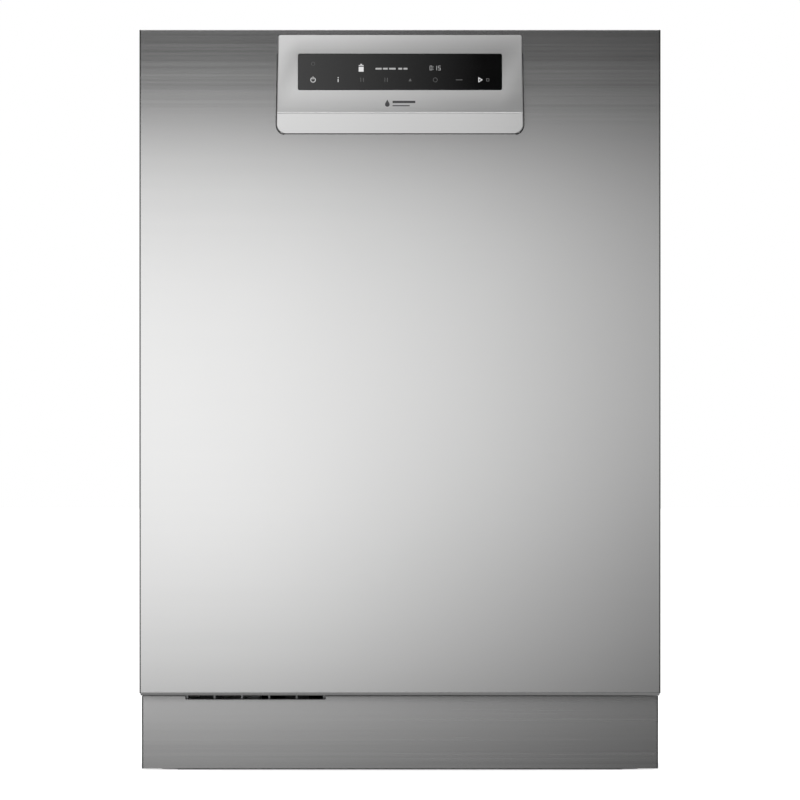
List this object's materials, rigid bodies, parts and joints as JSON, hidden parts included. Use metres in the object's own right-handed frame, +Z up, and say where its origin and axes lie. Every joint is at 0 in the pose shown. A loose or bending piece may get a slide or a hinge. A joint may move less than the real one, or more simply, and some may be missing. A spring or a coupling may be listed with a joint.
{
  "type": "built in dishwasher",
  "caption": "Front-opening dishwasher for a kitchen niche: drop-down steel door with a wedge-shaped grip panel, wash tub, two racks, spray arms and base.",
  "frame": {"origin": "centre of the footprint, on the floor", "axes": "+Z up, the door faces -Y, +X to the right when facing the door"},
  "size_m": [0.596, 0.573, 0.847],
  "materials": {
    "door_steel": "horizontal brushed stainless steel",
    "fascia_steel": "fine brushed stainless steel",
    "plinth_steel": "brushed stainless steel",
    "tub_steel": "bright rolled stainless steel",
    "black_glass": "polished black glass",
    "galvanised": "galvanised sheet",
    "zinc_steel": "zinc plated steel",
    "black_plastic": "fine textured moulded plastic",
    "grey_plastic": "moulded plastic",
    "white_plastic": "moulded plastic",
    "blue_plastic": "moulded plastic",
    "rubber": "soft rubber",
    "coated_wire": "nylon coated wire",
    "felt": "pressed felt",
    "circuit_board": "solder mask",
    "foot_plastic": "moulded plastic"
  },
  "bodies": {
    "cabinet": {"kick_plate": "plinth_steel", "vent_grille": "grey_plastic", "kick_strip": "rubber", "tub": "tub_steel", "hinge_brackets": "zinc_steel", "door_springs": "zinc_steel", "base_tray": "black_plastic", "side_panel_left": "galvanised", "side_panel_right": "galvanised", "back_panel": "galvanised", "top_panel": "galvanised", "tub_insulation": "felt", "door_seal": "rubber", "latch_striker": "zinc_steel", "sump": "black_plastic", "circulation_pump": "black_plastic", "drain_pump": "grey_plastic", "filter_plate": "tub_steel", "salt_container": "white_plastic", "air_break_tank": "white_plastic", "feed_pipe": "grey_plastic", "ceiling_shower": "grey_plastic", "inlet_valve": "white_plastic", "drain_spigot": "black_plastic", "terminal_box": "black_plastic", "vent_fan_housing": "black_plastic", "rails_fixed": "zinc_steel"},
    "door": {"door_panel": "door_steel", "door_liner": "tub_steel", "door_frame": "galvanised", "door_insulation": "felt", "control_fascia": "fascia_steel", "display_glass": "black_glass", "handle_pocket": "black_plastic", "control_board": "circuit_board", "door_latch": "black_plastic", "dispenser_body": "grey_plastic", "hinge_arms": "zinc_steel", "hinge_pins": "zinc_steel"},
    "lid": {"detergent_lid": "white_plastic"},
    "rinse_cap": {"rinse_aid_cap": "blue_plastic"},
    "foot_left": {"foot_front_left": "foot_plastic"},
    "foot_right": {"foot_front_right": "foot_plastic"},
    "foot_back": {"foot_rear": "foot_plastic"},
    "fan": {"vent_fan_rotor": "grey_plastic"},
    "filter": {"filter_cup": "grey_plastic"},
    "salt_lid": {"salt_cap": "grey_plastic"},
    "low_arm": {"lower_spray_arm": "grey_plastic"},
    "high_arm": {"upper_spray_arm": "grey_plastic"},
    "low_basket": {"lower_rack": "coated_wire", "wheel_brackets": "grey_plastic"},
    "wheels_front": {"rack_wheels_front": "grey_plastic"},
    "wheels_rear": {"rack_wheels_rear": "grey_plastic"},
    "tines": {"folding_tines": "coated_wire"},
    "cutlery": {"cutlery_basket": "grey_plastic"},
    "high_basket": {"upper_rack": "coated_wire", "rails_inner": "zinc_steel", "rack_duct": "grey_plastic"},
    "rail_middle": {"rails_middle": "zinc_steel"},
    "shelf": {"cup_shelf": "grey_plastic"}
  },
  "joints": [
    {"name": "door_hinge", "type": "hinge", "parent": "cabinet", "child": "door", "pos_m": [0, -0.2535, 0.128], "axis": [1, 0, 0], "range_deg": [0, 90]},
    {"name": "lower_rack_slide", "type": "slide", "parent": "cabinet", "child": "low_basket", "axis": [0, -1, 0], "range_m": [0, 0.1572]},
    {"name": "front_wheels_roll", "type": "hinge", "parent": "low_basket", "child": "wheels_front", "pos_m": [0, -0.076, 0.189], "axis": [1, 0, 0], "range_deg": [0, 530]},
    {"name": "rear_wheels_roll", "type": "hinge", "parent": "low_basket", "child": "wheels_rear", "pos_m": [0, 0.144, 0.189], "axis": [1, 0, 0], "range_deg": [0, 530]},
    {"name": "upper_rack_slide", "type": "slide", "parent": "cabinet", "child": "high_basket", "axis": [0, -1, 0], "range_m": [0, 0.4495]},
    {"name": "middle_rail_slide", "type": "slide", "parent": "cabinet", "child": "rail_middle", "axis": [0, -1, 0], "range_m": [0, 0.225]},
    {"name": "lower_arm_spin", "type": "hinge", "parent": "cabinet", "child": "low_arm", "pos_m": [0, 0.01, 0.18], "axis": [0, 0, 1], "continuous": true},
    {"name": "upper_arm_spin", "type": "hinge", "parent": "high_basket", "child": "high_arm", "pos_m": [0, 0.01, 0.4473], "axis": [0, 0, 1], "continuous": true},
    {"name": "fan_spin", "type": "hinge", "parent": "cabinet", "child": "fan", "pos_m": [-0.1675, -0.17, 0.088], "axis": [0, 1, 0], "continuous": true},
    {"name": "filter_twist", "type": "hinge", "parent": "cabinet", "child": "filter", "pos_m": [0, -0.095, 0.168], "axis": [0, 0, 1], "range_deg": [0, 90]},
    {"name": "salt_cap_twist", "type": "hinge", "parent": "cabinet", "child": "salt_lid", "pos_m": [-0.195, -0.112, 0.17], "axis": [0, 0, 1], "range_deg": [0, 360]},
    {"name": "detergent_lid_slide", "type": "slide", "parent": "door", "child": "lid", "axis": [0, 0, -1], "range_m": [0, 0.062]},
    {"name": "rinse_cap_twist", "type": "hinge", "parent": "door", "child": "rinse_cap", "pos_m": [0.048, -0.2215, 0.565], "axis": [0, 1, 0], "range_deg": [0, 90]},
    {"name": "tines_fold", "type": "hinge", "parent": "low_basket", "child": "tines", "pos_m": [0, 0.06, 0.215], "axis": [-1, 0, 0], "range_deg": [0, 85]},
    {"name": "cutlery_lift", "type": "slide", "parent": "low_basket", "child": "cutlery", "axis": [0, 0, 1], "range_m": [0, 0.08]},
    {"name": "cup_shelf_fold", "type": "hinge", "parent": "high_basket", "child": "shelf", "pos_m": [0.231, 0, 0.5495], "axis": [0, 1, 0], "range_deg": [0, 85]},
    {"name": "left_foot_screw", "type": "slide", "parent": "cabinet", "child": "foot_left", "axis": [0, 0, -1], "range_m": [-0.032, 0.028]},
    {"name": "right_foot_screw", "type": "slide", "parent": "cabinet", "child": "foot_right", "axis": [0, 0, -1], "range_m": [-0.032, 0.028]},
    {"name": "rear_foot_screw", "type": "slide", "parent": "cabinet", "child": "foot_back", "axis": [0, 0, -1], "range_m": [-0.032, 0.028]}
  ],
  "couplings": [
    {"joint": "lower_rack_slide", "follows": "door_hinge", "m_per_rad": 0.1},
    {"joint": "front_wheels_roll", "follows": "door_hinge", "ratio": 5.8824},
    {"joint": "rear_wheels_roll", "follows": "door_hinge", "ratio": 5.8824},
    {"joint": "upper_rack_slide", "follows": "door_hinge", "m_per_rad": 0.286},
    {"joint": "middle_rail_slide", "follows": "door_hinge", "m_per_rad": 0.143}
  ]
}
